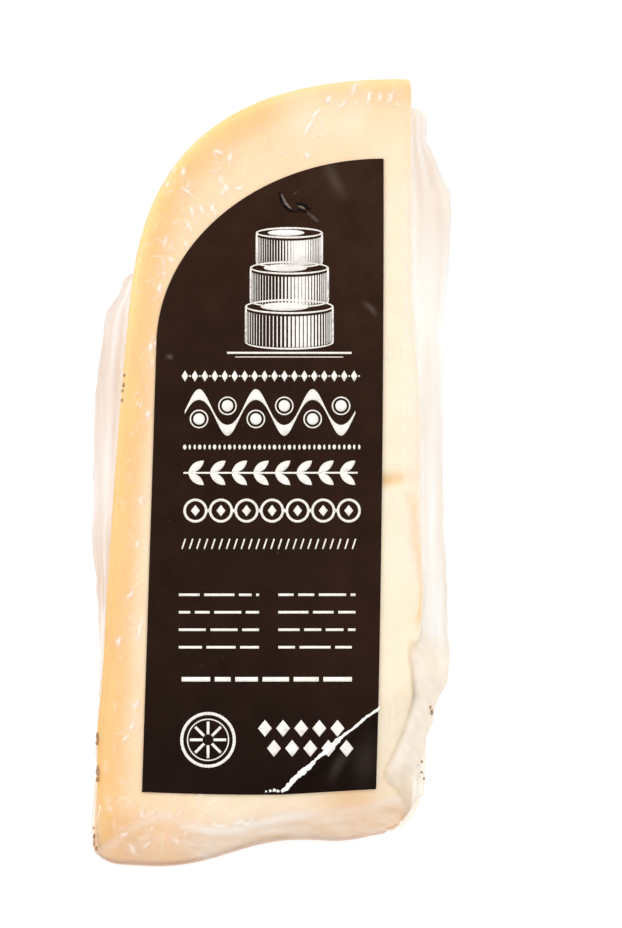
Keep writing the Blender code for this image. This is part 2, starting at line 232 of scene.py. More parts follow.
# What lies on the label: its height above the label, and its thickness
PRINT_LIFT = 0.03
PRINT_THICKNESS = 0.03
PRINT_STEP = 1.3
PRINT_STEP_AT_CREASE = 0.4
CURL_SHADING_LIFT = 0.05
CURL_SHADING_THICKNESS = 0.02
CREASE_LIFT = 0.06
CREASE_THICKNESS = 0.05

SHARP_ANGLE = math.radians(40)
SQUIGGLE_STEP = 0.4
PROBE = 0.02
TIP_END = 36.0
NEAR_TIP = 2.5

RANDOM = np.random.default_rng(15)
between = RANDOM.uniform
spread = RANDOM.normal


# Shape of the wedge

def points_of(data):
    """A mesh's points in mm."""
    flat = np.empty(len(data.vertices) * 3)
    data.vertices.foreach_get("co", flat)
    return flat.reshape(-1, 3) / MM


def wheel_axis_place():
    """X of the wheel's middle plane and Y of its axis, in mm."""
    points = points_of(WEDGE)
    back = points[:, 1].max()
    straight = points[points[:, 1] > back - 20]
    return straight[:, 0].max(), back - WHEEL_RADIUS


PLANE_X, AXIS_Y = wheel_axis_place()


def grow(value, low, high):
    """0 below low, 1 above high and an even S between them."""
    share = np.clip((value - low) / (high - low), 0.0, 1.0)
    return share * share * (3 - 2 * share)


def fade(value, low, high):
    """1 below low, 0 above high and an even S between them."""
    return 1 - grow(value, low, high)


def bell(value, half):
    """1 at 0, falling off evenly over about that half width."""
    return np.exp(-(value / half) ** 2)


def noise_at(x, y, z, size, seed=0):
    """Smooth noise of about -1 to 1 at each point, with features of that size."""
    shift = seed * 7.31
    rows = np.column_stack(np.broadcast_arrays(x, y, z)) / size + (shift, -shift, 2 * shift)
    return np.array([noise.noise(row) for row in rows.tolist()])


def to_world(h, r, turn):
    """World points in mm, as rows."""
    return np.column_stack(np.broadcast_arrays(PLANE_X - h, AXIS_Y + r * np.cos(turn), r * np.sin(turn)))


def to_wheel(points):
    """h, r and turn of world points."""
    y = points[:, 1] - AXIS_Y
    return PLANE_X - points[:, 0], np.hypot(y, points[:, 2]), np.arctan2(points[:, 2], y)


def dome(r):
    """Half the wheel's height at r, before its rim rounds off."""
    bulge = BULGE * bell(r - BULGE_RADIUS, BULGE_HALF)
    flare = FLARE * fade(r, FLARE_END, FLARE_START)
    return HALF_HEIGHT - DOME_SAG * (r / WHEEL_RADIUS) ** 2 + bulge + flare


def rind_height(r):
    """Half the wheel's height at r, its rim's rounding included."""
    past = np.maximum(0.0, (r - RIM_START) / (WHEEL_RADIUS - RIM_START))
    return dome(r) * np.maximum(0.0, 1 - past**RIM_FULLNESS) ** (1 / RIM_ROUNDNESS)


def rind_gap(h, r):
    """About how far a point lies outside the rind and rim: negative inside."""
    past = np.maximum(0.0, (r - RIM_START) / (WHEEL_RADIUS - RIM_START))
    side = np.maximum(0.0, h) / dome(r)
    level = side**RIM_ROUNDNESS + past**RIM_FULLNESS - 1
    slope_h = RIM_ROUNDNESS * side ** (RIM_ROUNDNESS - 1) / dome(r)
    slope_r = RIM_FULLNESS * past ** (RIM_FULLNESS - 1) / (WHEEL_RADIUS - RIM_START)
    return level / np.maximum(0.01, np.hypot(slope_h, slope_r))


def tip_edge(h):
    """Where the trimmed tip ends: aslant, wavy, and with both its corners rounded."""
    past_right = np.maximum(0.0, 1 - h / TIP_CORNER)
    past_left = np.maximum(0.0, 1 - (dome(TIP_RADIUS) - h) / TIP_CORNER)
    wave = TIP_WAVE * np.sin(2 * math.pi * (h - TIP_WAVE_PLACE) / TIP_WAVE_LENGTH) * grow(h, 4, 16)
    edge = TIP_RADIUS + TIP_SLANT * (1 - h / HALF_HEIGHT) - wave
    return edge + RIGHT_CORNER_CUT * past_right**3 + LEFT_CORNER_CUT * past_left**3


def past_crease(h, r):
    """How far a point of the cut face lies beyond the crease, towards the pressed corner."""
    along = Vector(CREASE_LEFT) - Vector(CREASE_RIGHT)
    along.normalize()
    return (h - CREASE_RIGHT[0]) * along.y - (r - CREASE_RIGHT[1]) * along.x


def dent(h, r):
    """Shallow hollows and rises of the cut face."""
    return DENT_DEPTH * noise_at(h, r, 0.0, DENT_LENGTH) * grow(r, 30, 48)


def top_turn(h, r, dents):
    """The turn at which the upper cut face lies."""
    flat = r * math.sin(WEDGE_ANGLE)
    into_tip = np.clip((r - tip_edge(h)) / TIP_ROUNDING, 0.0, 1.0)
    tip = flat * np.sqrt(np.maximum(0.0, 1 - (1 - into_tip) ** 2))
    past = past_crease(h, r)
    pressed = flat - math.tan(CORNER_TILT) * (np.hypot(past, CREASE_SOFTNESS) + past) / 2
    height = np.maximum(THINNEST, np.minimum(tip, pressed)) + dents
    return np.arcsin(np.clip(np.minimum(height, flat + DENT_DEPTH) / r, 0.0, 1.0))


def swell(r, share):
    """How far the cut side stands out of the middle plane, at a share of the height."""
    stations = np.array(SWELL)
    return np.interp(r, stations[:, 0], stations[:, 1]) * grow(share, 0.15, 0.6)


def outside(points, dents):
    """About how far points lie outside the rounded wedge: negative inside."""
    h, r, turn = to_wheel(points)
    top = top_turn(h, r, dents)
    gaps = np.stack([
        -points[:, 2],
        r * (turn - top),
        -h - swell(r, turn / WEDGE_ANGLE),
        rind_gap(h, r),
        tip_edge(h) - r,
    ])
    rounding = np.minimum(EDGE_ROUNDING, 0.45 * r * top)
    inner = gaps + rounding
    return np.minimum(inner.max(axis=0), 0.0) + np.linalg.norm(np.maximum(inner, 0.0), axis=0) - rounding


def settle(points, offset, rounds=4):
    """Moves points onto the surface that lies that far outside the rounded wedge."""
    for _ in range(rounds):
        h, r, _turn = to_wheel(points)
        dents = dent(h, r)
        value = outside(points, dents)
        slope = np.empty_like(points)
        for axis in range(3):
            moved = points.copy()
            moved[:, axis] += PROBE
            slope[:, axis] = (outside(moved, dents) - value) / PROBE
        step = (offset - value) / np.maximum((slope**2).sum(axis=1), 0.1)
        points = points + slope * np.clip(step, -1.0, 1.0)[:, None]
    return points


def on_face(h, r, lift):
    """World points on the upper cut face, raised by lift."""
    return to_world(h, r, top_turn(h, r, dent(h, r))) + FACE_UP * np.reshape(lift, (-1, 1))


def share_of_top(h, r, turn):
    """A point's turn as a share of the upper cut face's."""
    return turn / np.maximum(0.02, top_turn(h, r, 0.0))


# Meshes

def mesh_of(name, points, faces):
    """A sheet of those points in mm, with its front up."""
    data = bpy.data.meshes.new(name)
    data.from_pydata((points * MM).tolist(), [], [tuple(face) for face in faces])
    data.update()
    if data.polygons[0].normal.z < 0:
        data.flip_normals()
    return data


def mesh_from(name, mesh):
    """A mesh with the faces of a bmesh, which is then done with."""
    data = bpy.data.meshes.new(name)
    mesh.to_mesh(data)
    mesh.free()
    return data


def set_points(data, points):
    data.vertices.foreach_set("co", (points * MM).ravel())
    data.update()


def normals_of(data):
    flat = np.empty(len(data.vertices) * 3, np.float32)
    data.vertices.foreach_get("normal", flat)
    return flat.reshape(-1, 3).astype(float)


def store(data, name, values, most=1.0):
    """Keeps a value from 0 to most for each point, for the materials to read."""
    values = np.clip(values, 0.0, most).astype(np.float32)
    data.attributes.new(name, "FLOAT", "POINT").data.foreach_set("value", values)


def placed(name, data):
    """An object of that data, put into the scene."""
    made = bpy.data.objects.new(name, data)
    bpy.context.scene.collection.objects.link(made)
    return made


def piece(name, data, materials, replaced=(), thickness=0.0):
    """An object of that mesh that rides on the body."""
    data.shade_smooth()
    data.set_sharp_from_angle(angle=SHARP_ANGLE)
    made = placed(name, data)
    for finish in materials:
        made.data.materials.append(finish)
    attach(made, "root")
    if replaced:
        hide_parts(*replaced)
    if thickness:
        thicken(made, thickness)
    return made


def thicken(made, thickness, offset=0.0):
    sheet = made.modifiers.new("thickness", "SOLIDIFY")
    sheet.thickness = thickness * MM
    sheet.offset = offset
    sheet.use_even_offset = False
    return sheet


def grid_faces(rows, columns):
    """The faces of a sheet of points in rows, by their numbers."""
    first = np.arange(rows - 1)[:, None] * columns + np.arange(columns - 1)[None, :]
    first = first.ravel()
    return np.column_stack([first, first + 1, first + columns + 1, first + columns])


def strip_grid(stations, step, columns):
    """A strip along r: r and the share across at each of its points, and its faces."""
    rows = np.arange(stations[0, 0], stations[-1, 0], step)
    r, across = np.meshgrid(rows, np.linspace(0, 1, columns), indexing="ij")
    return r.ravel(), across.ravel(), grid_faces(len(rows), columns)


def remeshed(step):
    """A copy of the wedge's mesh as an even grid of small faces."""
    helper = placed("grid_helper", WEDGE.copy())
    grid = helper.modifiers.new("grid", "REMESH")
    grid.mode = "VOXEL"
    grid.voxel_size = step * MM
    graph = bpy.context.evaluated_depsgraph_get()
    data = bpy.data.meshes.new_from_object(helper.evaluated_get(graph))
    data.materials.clear()
    bpy.data.objects.remove(helper)
    return data


# Paths on the face

def jagged(path, step, jitter):
    """The path with a point every step or so, each moved a little to a side."""
    path = np.array(path, float)
    result = [path[0]]
    for start, end in zip(path, path[1:]):
        count = max(1, round(np.linalg.norm(end - start) / step))
        for i in range(1, count + 1):
            result.append(start + (end - start) * i / count + spread(0, jitter, 2))
    return np.array(result)


def path_field(h, r, path, half):
    """1 on the path, falling off to its sides and to its ends."""
    path = np.array(path, float)
    field = np.zeros(len(h))
    low, high = path.min(axis=0) - 3 * half, path.max(axis=0) + 3 * half
    near = np.flatnonzero((h > low[0]) & (h < high[0]) & (r > low[1]) & (r < high[1]))
    if not len(near):
        return field
    points = np.column_stack([h[near], r[near]])
    gap = np.full(len(near), np.inf)
    place = np.zeros(len(near))
    lengths = np.linalg.norm(np.diff(path, axis=0), axis=1)
    start = 0.0
    for a, b, length in zip(path, path[1:], lengths):
        share = np.clip((points - a) @ (b - a) / max(length, 1e-6) ** 2, 0.0, 1.0)
        distance = np.linalg.norm(points - a - share[:, None] * (b - a), axis=1)
        closer = distance < gap
        gap[closer] = distance[closer]
        place[closer] = start + share[closer] * length
        start += length
    field[near] = bell(gap, half) * np.sin(math.pi * np.clip(place / start, 0.06, 0.94)) ** 0.6
    return field


def side_of_path(h, r, path):
    """Signed distance from an open path that runs towards lower r: positive on the side of lower h."""
    path = np.array(path, float)
    best = np.full(len(h), np.inf)
    signed = np.zeros(len(h))
    for a, b in zip(path, path[1:]):
        run = b - a
        share = np.clip(((h - a[0]) * run[0] + (r - a[1]) * run[1]) / (run @ run), 0.0, 1.0)
        gap_h, gap_r = h - a[0] - share * run[0], r - a[1] - share * run[1]
        distance = np.hypot(gap_h, gap_r)
        closer = distance < best
        best[closer] = distance[closer]
        side = np.sign(run[1] * gap_h - run[0] * gap_r)
        signed[closer] = (side * distance)[closer]
    return signed


# The label's outline

def label_right(r):
    share = np.clip((r - LABEL_BOTTOM) / (LABEL_TOP - LABEL_BOTTOM), 0.0, 1.0)
    return LABEL_RIGHT + LABEL_RIGHT_DRIFT * (1 - share) ** 2


def label_left(r):
    share = np.clip((r - LABEL_BOTTOM) / (LABEL_ARC_START - LABEL_BOTTOM), 0.0, 1.0)
    straight = LABEL_LEFT_BOTTOM + (LABEL_LEFT_TOP - LABEL_LEFT_BOTTOM) * share
    up = np.clip((r - LABEL_ARC_START) / (LABEL_TOP - LABEL_ARC_START), 0.0, 1.0)
    arc = LABEL_RIGHT + (LABEL_LEFT_TOP - LABEL_RIGHT) * np.sqrt(1 - up**2)
    return np.where(r > LABEL_ARC_START, arc, straight)


def label_bottom(h):
    """The bottom edge, which bows down a little and rises to the right of the crease."""
    right = LABEL_RIGHT + LABEL_RIGHT_DRIFT
    past = np.clip((CREASE_LEFT[0] - h) / (CREASE_LEFT[0] - right), 0.0, 1.0)
    bow = LABEL_BOW * np.sin(math.pi * np.clip((h - right) / (LABEL_LEFT_BOTTOM - right), 0.0, 1.0))
    return LABEL_BOTTOM + LABEL_BOTTOM_RISE * past - bow


def under_label(h, r, margin):
    """Whether a point of the face lies that far inside the label's edge."""
    inside = (h > label_right(r) + margin) & (h < label_left(r) - margin)
    return inside & (r > LABEL_BOTTOM + margin) & (r < LABEL_TOP - margin)


def fin_level(r):
    """The share of the wedge's height at which a fin stands out."""
    return FIN_LEVEL + FIN_RISE * grow(r, FIN_RISE_START, FIN_RISE_END)


# Materials

def colour(red, green, blue):
    """A colour as it shows, from 0 to 255, as linear light."""
    shares = [value / 255 for value in (red, green, blue)]
    return (*[s / 12.92 if s <= 0.04045 else ((s + 0.055) / 1.055) ** 2.4 for s in shares], 1.0)


class Shading:
    """A material's node tree, with short calls for the nodes that the materials share."""

    def __init__(self, name):
        self.material = bpy.data.materials.new(name)
        self.material.use_nodes = True
        self.tree = self.material.node_tree
        self.tree.nodes.clear()
        self.place = self.tree.nodes.new("ShaderNodeTexCoord").outputs["Object"]

    def node(self, kind, inputs=None, **settings):
        made = self.tree.nodes.new(kind)
        for key, value in settings.items():
            setattr(made, key, value)
        for key, value in (inputs or {}).items():
            if isinstance(value, bpy.types.NodeSocket):
                self.tree.links.new(value, made.inputs[key])
            else:
                made.inputs[key].default_value = value
        return made

    def attribute(self, name):
        return self.node("ShaderNodeAttribute", attribute_name=name).outputs["Fac"]

    def math(self, operation, first, second=0.0, third=0.0):
        return self.node("ShaderNodeMath", {0: first, 1: second, 2: third}, operation=operation).outputs[0]

    def noise(self, size, detail=2.0, roughness=0.5, stretch=(1, 1, 1)):
        """Noise with features of that size in mm, drawn out along each axis by stretch."""
        place = self.node("ShaderNodeMapping", {"Vector": self.place, "Scale": [1 / s for s in stretch]})
        inputs = {"Vector": place.outputs[0], "Scale": 1 / (size * MM), "Detail": detail}
        return self.node("ShaderNodeTexNoise", {**inputs, "Roughness": roughness}).outputs["Fac"]

    def ramp(self, factor, stops):
        made = self.node("ShaderNodeValToRGB", {"Fac": factor})
        elements = made.color_ramp.elements
        while len(elements) < len(stops):
            elements.new(0.5)
        for element, (place, shade) in zip(elements, stops):
            element.position = place
            element.color = shade if isinstance(shade, tuple) else (shade, shade, shade, 1.0)
        return made.outputs["Color"]

    def blend(self, factor, first, second, kind="MIX"):
        inputs = {0: factor, 6: first, 7: second}
        return self.node("ShaderNodeMix", inputs, data_type="RGBA", blend_type=kind).outputs[2]

    def bump(self, height, depth, strength):
        """A bump that high, in mm."""
        inputs = {"Height": height, "Distance": depth * MM, "Strength": strength}
        return self.node("ShaderNodeBump", inputs).outputs["Normal"]

    def sheen(self, normal):
        """The share of light that thin film reflects, the same from both of its sides."""
        facing = self.node("ShaderNodeLayerWeight", {"Blend": 0.5, "Normal": normal}).outputs["Facing"]
        return self.math("MULTIPLY_ADD", self.math("POWER", facing, 5.0), 0.9, 0.045)

    def shader(self, kind, inputs):
        """What a node of that kind makes, such as the light from a surface."""
        return self.node("ShaderNode" + kind, inputs).outputs[0]

    def mix(self, factor, first, second):
        return self.shader("MixShader", {0: factor, 1: first, 2: second})

    def finish(self, shader):
        self.tree.links.new(shader, self.node("ShaderNodeOutputMaterial").inputs["Surface"])
        return self.material


def cheese_material():
    """Pale paste that turns amber near the rind, with its marks, painted light and painted shade, and the
    rind itself.
    """
    s = Shading("cheese_paste")
    depth = s.attribute("depth")
    wander = s.math("MULTIPLY", s.math("SUBTRACT", s.noise(9.0), 0.5), 3.0)
    band = s.math("DIVIDE", s.math("ADD", depth, wander), 20.0)
    paste = s.ramp(band, [
        (0.0, colour(250, 215, 146)),
        (0.07, colour(251, 211, 144)),
        (0.13, colour(252, 203, 142)),
        (0.22, colour(253, 204, 150)),
        (0.36, colour(254, 216, 174)),
        (0.6, colour(254, 220, 183)),
        (0.75, colour(254, 221, 184)),
    ])
    # Pale tones: painted light on the right strip, and paler patches elsewhere on the face
    pale = s.ramp(s.noise(6.0), [(0.3, colour(254, 234, 207)), (0.7, colour(254, 238, 216))])
    paste = s.blend(s.attribute("pale"), paste, pale)
    mottle = s.ramp(s.noise(2.6, 3.0), [(0.35, 0.965), (0.65, 1.0)])
    paste = s.blend(1.0, paste, mottle, "MULTIPLY")
    # Amber: painted shade in the hollow and along the lobe's edge, and amber streaks near the tip
    paste = s.blend(s.attribute("amber"), paste, colour(249, 198, 126))
    paste = s.blend(s.attribute("ochre"), paste, colour(229, 182, 112))
    # Tan: painted shade over the tip and the pressed corner, and a darker line along the tip's edge
    paste = s.blend(s.attribute("tan"), paste, colour(228, 184, 142))
    rind = s.ramp(s.noise(1.8, 4.0, 0.6), [
        (0.28, colour(196, 134, 74)),
        (0.45, colour(228, 176, 108)),
        (0.7, colour(240, 198, 134)),
    ])
    paste = s.blend(s.attribute("rind"), paste, rind)
    grain = s.bump(s.noise(0.9, 3.0, 0.6), 0.06, 0.6)
    return s.finish(s.shader("BsdfPrincipled", {
        "Base Color": paste,
        "Roughness": 0.5,
        "Specular IOR Level": 0.25,
        "Subsurface Weight": 0.35,
        "Subsurface Radius": (1.0, 0.55, 0.25),
        "Subsurface Scale": 1.2 * MM,
        "Normal": grain,
    }))


def film_material():
    """Clear film that turns milky where it lifts off, with its wrinkles' highlights painted in milky white,
    and tan where its folds gather over the tip, a tan that paints the shade of the cheese under them.
    """
    s = Shading("film_clear")
    crinkle = s.bump(s.noise(1.4, 3.0, 0.55), 0.05, 0.5)
    gloss = s.shader("BsdfGlossy", {"Color": (1, 1, 1, 1), "Roughness": 0.07, "Normal": crinkle})
    clear = s.shader("BsdfTransparent", {"Color": (0.995, 0.992, 0.985, 1)})
    skin = s.mix(s.sheen(crinkle), clear, gloss)
    # Milky white: lifted film, which also paints the wrinkles' highlights
    white = colour(255, 250, 244)
    milk = s.shader("BsdfPrincipled", {"Base Color": white, "Roughness": 0.3, "Normal": crinkle})
    # Painted shade: the tan of the shaded cheese under the gathered folds, seen through milky film
    gathered_and_shade = s.ramp(s.noise(1.5, 3.0, 0.55, (4, 1, 1)), [
        (0.3, colour(232, 206, 174)),
        (0.5, colour(244, 227, 206)),
        (0.68, colour(252, 243, 230)),
    ])
    folds = s.shader("BsdfPrincipled", {"Base Color": gathered_and_shade, "Roughness": 0.35, "Normal": crinkle})
    skin = s.mix(s.attribute("gather"), skin, folds)
    skin = s.mix(s.attribute("hem"), skin, s.shader("BsdfDiffuse", {"Color": colour(225, 190, 165)}))
    return s.finish(s.mix(s.attribute("milk_and_highlight"), skin, milk))


def fin_material(name, warm, dull, stretch, painted_glow):
    """Doubled film: milky, with folds of a duller shade and painted light in its tint, and a faint painted
    glow, an emission that brightens it though it is no lamp.
    """
    s = Shading(name)
    crinkle = s.bump(s.noise(1.6, 3.0, 0.6, stretch), 0.05, 0.6)
    tint = s.ramp(s.attribute("fold"), [(0.1, warm), (0.9, dull)])
    cover = s.attribute("cover")
    milk = s.shader("BsdfDiffuse", {"Color": tint, "Normal": crinkle})
    through = s.shader("BsdfTranslucent", {"Color": tint, "Normal": crinkle})
    # Painted glow: emission that brightens the milky film
    glow = s.shader("Emission", {"Color": tint, "Strength": painted_glow})
    cloud = s.shader("AddShader", {0: s.mix(0.15, milk, through), 1: glow})
    gloss = s.shader("BsdfGlossy", {"Roughness": 0.12, "Normal": crinkle})
    clear = s.shader("BsdfTransparent", {"Color": (1.0, 0.99, 0.97, 1)})
    shiny = s.math("MULTIPLY", s.sheen(crinkle), s.ramp(cover, [(0.0, 0.0), (0.25, 1.0)]))
    return s.finish(s.mix(cover, s.mix(shiny, clear, gloss), cloud))


def label_material():
    """Dark brown printed paper with a soft sheen, faint mottling and small scuffs, with painted light and
    shade: lighter towards its top and right, darker beyond the crease, and painted reflection streaks.
    """
    s = Shading("label_print_ground")
    deep = s.ramp(s.noise(5.0, 4.0, 0.6), [(0.3, colour(19, 9, 6)), (0.7, colour(26, 14, 9))])
    soft = s.ramp(s.noise(5.0, 4.0, 0.6), [(0.3, colour(47, 29, 19)), (0.7, colour(56, 36, 26))])
    # Painted light and shade: the lighter ground towards the top and right, the darker one beyond the crease
    ground = s.blend(s.attribute("painted_light_share"), deep, soft)
    scuffs = s.ramp(s.noise(1.1, 4.0, 0.7), [(0.66, 0.0), (0.78, 0.5)])
    ground = s.blend(scuffs, ground, colour(84, 64, 54))
    # Painted reflection streaks
    ground = s.blend(s.attribute("painted_reflection"), ground, colour(150, 134, 122))
    grain = s.bump(s.noise(0.5, 2.0), 0.02, 0.5)
    inputs = {"Base Color": ground, "Roughness": 0.5, "Specular IOR Level": 0.04, "Normal": grain}
    return s.finish(s.shader("BsdfPrincipled", inputs))


def paper_material(name, shade, low, high):
    """Plain paper or ink of that shade, a little uneven."""
    s = Shading(name)
    uneven = s.ramp(s.noise(0.8, 3.0, 0.6), [(0.35, low), (0.6, high)])
    base = s.blend(1.0, shade, uneven, "MULTIPLY")
    inputs = {"Base Color": base, "Roughness": 0.5, "Specular IOR Level": 0.08}
    return s.finish(s.shader("BsdfPrincipled", inputs))


def speck_material():
    s = Shading("speck_brown")
    shade = s.ramp(s.noise(0.4, 3.0), [(0.35, colour(134, 100, 72)), (0.65, colour(190, 152, 112))])
    return s.finish(s.shader("BsdfPrincipled", {"Base Color": shade, "Roughness": 0.6}))


# Pieces

def refine(data, offset, wanted):
    """Settles the mesh that far outside the wedge, and cuts the faces that wanted picks into smaller ones."""
    set_points(data, settle(points_of(data), offset))
    mesh = bmesh.new()
    mesh.from_mesh(data)
    centres = np.array([face.calc_center_median() for face in mesh.faces]) / MM
    normals = np.array([face.normal for face in mesh.faces])
    h, r, _turn = to_wheel(centres)
    chosen = wanted(h, r, normals @ FACE_UP)
    edges = list({edge for face, keep in zip(list(mesh.faces), chosen) if keep for edge in face.edges})
    bmesh.ops.subdivide_edges(mesh, edges=edges, cuts=FINE_CUTS, use_grid_fill=True)
    mesh.to_mesh(data)
    mesh.free()
    points = settle(points_of(data), offset, 3)
    set_points(data, points)
    return points


def near_tip(h, r):
    return r < tip_edge(h) + NEAR_TIP


def make_cheese():
    """The cheese, just inside its film."""
    data = remeshed(CHEESE_GRID)
    points = refine(data, -FILM_GAP, lambda h, r, facing_up: near_tip(h, r))
    h, r, turn = to_wheel(points)
    on_top = grow(share_of_top(h, r, turn), 0.8, 0.97)
    hollow = bell(r - HOLLOW_R + 0.12 * h, HOLLOW_HALF) * on_top * (h < 12)
    past_lobe = side_of_path(h, r, LOBE)
    along_lobe = grow(r, 57.5, 60) * fade(r, 79.0, 81.5)
    groove = bell(past_lobe - 0.3, 0.5) * along_lobe * on_top
    sink = 0.5 * hollow + LOBE_GROOVE * groove
    set_points(data, points - normals_of(data) * sink[:, None])
    depth = -rind_gap(h, r)
    store(data, "depth", depth, 40.0)
    # Paler paste: painted light on the right strip, where the key light falls, and paler patches below the
    # label, at the rim's top and beside the label
    right = fade(h + 1.6 * noise_at(h, r, 0.0, 9.0, 2), 3.0, 15.0)
    right = right * (0.2 + 0.8 * fade(r, 118, 146))
    low_middle = 0.7 * (grow(h, 8, 14) * fade(h, 32, 40) * fade(r, 29, 36))
    rim_top = 0.5 * grow(r, 138, 143) * (1 - 0.6 * grow(r, 146, 150))
    rim_top = rim_top * grow(h, 4, 9) * fade(h, 18, 26)
    by_label = 0.45 * grow(depth, 3.8, 6.5) * bell(r - 70.0, 33.0) * (h > 30) * on_top
    store(data, "pale", np.maximum.reduce([right, low_middle, rim_top, by_label]))
    # Painted shade: amber in the hollow, weaker towards the right edge
    amber = 0.75 * hollow * (1 - 0.5 * fade(h, 0.2, 4.5))
    # Painted shade: an amber line along the lobe's edge, where the face rounds down to the side
    amber = np.maximum(amber, 0.65 * bell(past_lobe - 0.7, LOBE_SHADE_HALF) * along_lobe * on_top)
    for path in AMBER_STREAKS:
        amber = np.maximum(amber, 0.6 * path_field(h, r, jagged(path, 0.8, 0.1), 0.6))
    store(data, "amber", amber)
    outer_band = (1.0 - 0.45 * grow(r, 50, 85)) * bell(depth, 1.6) * fade(r, 95, 115) * (h > 30)
    corner = bell(np.hypot(h - 52.6, r - 21.5), 2.6)
    golden_tip = (0.3 * grow(h, 32, 42) + 0.27 * grow(h, 42, 47)) * fade(r, 24, 30)
    golden_right = 0.42 * grow(h, 4, 9) * fade(h, 12, 18) * bell(r - 30.0, 3.2)
    store(data, "ochre", np.maximum.reduce([outer_band, corner, golden_tip, golden_right]))
    from_tip = r - tip_edge(h)
    # Tan: painted shade over the tip and over the pressed corner beyond the crease, where it tilts away, and
    # a darker line along the tip's edge
    tip = fade(from_tip + 1.2 * noise_at(h, r, 0.0, 4.0, 5), 0.5, 6.0)
    pressed = grow(past_crease(h, r), 2.0, 9.0) * fade(r, 30.0, 34.0)
    store(data, "tan", 0.18 * tip + 0.15 * pressed + 0.6 * fade(from_tip, 0.35, 1.1))
    store(data, "rind", fade(depth, 0.2, 1.0) * (1 - 0.85 * on_top))
    return piece("cheese_block", data, [cheese_material()], ["cheese_wedge"])


# A stroke is (path, half width, height, whiteness): the whiteness is milky film and, in part, a painted
# highlight

def marked_strokes():
    """The wrinkles at their marked places, whitened as milky film and painted highlight, each with smaller
    ones about it and a soft cloud.
    """
    strokes = [(SOFT_STREAK, 0.45, 0.1, 0.35)]
    for path in RIM_WRINKLES + ARC_WRINKLES + STRIP_WRINKLES:
        strokes.append((jagged(path, 0.45, 0.1), between(0.2, 0.33), 0.2, between(0.6, 0.95)))
        middle = np.array(path).mean(axis=0)
        strokes.append(([middle, middle + spread(0, 0.8, 2)], between(0.7, 1.3), 0.05, 0.14))
        for _ in range(2):
            h, r = middle + spread(0, 1.1, 2)
            strokes.append(squiggle(h, r, spread(1.2, 0.9), between(0.5, 1.8), 0.55))
    return strokes


def scattered_strokes():
    """Fainter wrinkles over the whole strip of face round the label."""
    strokes = []
    for _ in range(80):
        swing = between(0.2, 1.3)
        out = between(0.6, 9.0)
        h = 4.8 + (38.0 + out) * math.cos(swing)
        r = 105.0 + (31.9 + out) * math.sin(swing)
        strokes.append(squiggle(h, r, spread(1.25, 0.7), between(0.5, 2.4), 0.35))
    for _ in range(70):
        r = between(34, 105)
        h = between(label_left(r) + 0.5, dome(r) - 2.0)
        strokes.append(squiggle(h, r, spread(1.1, 0.4), between(0.8, 2.8), 0.3))
    for _ in range(14):
        r = between(36, 104)
        h = between(0.8, 4.4)
        strokes.append(squiggle(h, r, spread(1.5, 0.2), between(1.0, 3.5), 0.22))
    for _ in range(60):
        h = between(33, 51.5)
        r = between(tip_edge(h) + 1.0, 35)
        path, half, rise, milk_and_highlight = squiggle(h, r, spread(0.8, 0.4), between(1.0, 3.6), 0.34)
        strokes.append((path, half * between(1.4, 3.4), rise, milk_and_highlight))
    return strokes


def squiggle(h, r, angle, length, milk_and_highlight):
    """A short crooked wrinkle that starts near that point and rises to the right at about that angle."""
    path = [np.array((h, r))]
    for _ in range(max(2, round(length / SQUIGGLE_STEP))):
        angle += spread(0, 0.45)
        path.append(path[-1] + SQUIGGLE_STEP * np.array((-math.cos(angle), math.sin(angle))))
    strength = between(0.2, 1.0)
    return path, between(0.11, 0.22), 0.15 * strength, milk_and_highlight * strength


def fold_strokes():
    """Folds of the film over the tip: soft ones along the fold's edge, and painted highlight flecks at the
    left.
    """
    strokes = []
    fold = np.array(TIP_FOLD)
    for i in range(6):
        start, end = between(0.0, 0.4), between(0.6, 1.0)
        places = np.linspace(start, end, 12) * (len(fold) - 1)
        h = np.interp(places, np.arange(len(fold)), fold[:, 0])
        r = np.interp(places, np.arange(len(fold)), fold[:, 1]) - (0.6 + 0.9 * i)
        r = r - 0.5 * np.sin(places * 1.3 + i)
        strokes.append((np.column_stack([h, r]), between(0.4, 0.8), 0.12, between(0.08, 0.2)))
    for start in range(2, 8):
        edge = fold[start:start + 2] + (0, -0.3)
        strokes.append((jagged(edge, 0.6, 0.2), between(0.25, 0.5), 0.2, between(0.3, 0.75)))
    for h, r in TIP_FLECKS:
        path, half, rise, milk_and_highlight = squiggle(h, r, spread(-0.5, 0.5), between(0.8, 2.0), 0.8)
        strokes.append((path, 1.7 * half, rise, milk_and_highlight))
        strokes.append((path, 4.5 * half, 0.0, 0.3 * milk_and_highlight))
    for _ in range(22):
        h = between(6, 50)
        r = tip_edge(h) + between(1.0, 6.0)
        strokes.append(squiggle(h, r, spread(0.3, 0.4), between(1.5, 4.0), 0.25))
    return strokes


def film_is_fine(h, r, facing_up):
    """Where the film needs small faces: over the tip, and on the face round the label."""
    return near_tip(h, r) | (facing_up > 0.35) & ~under_label(h, r, 1.2)


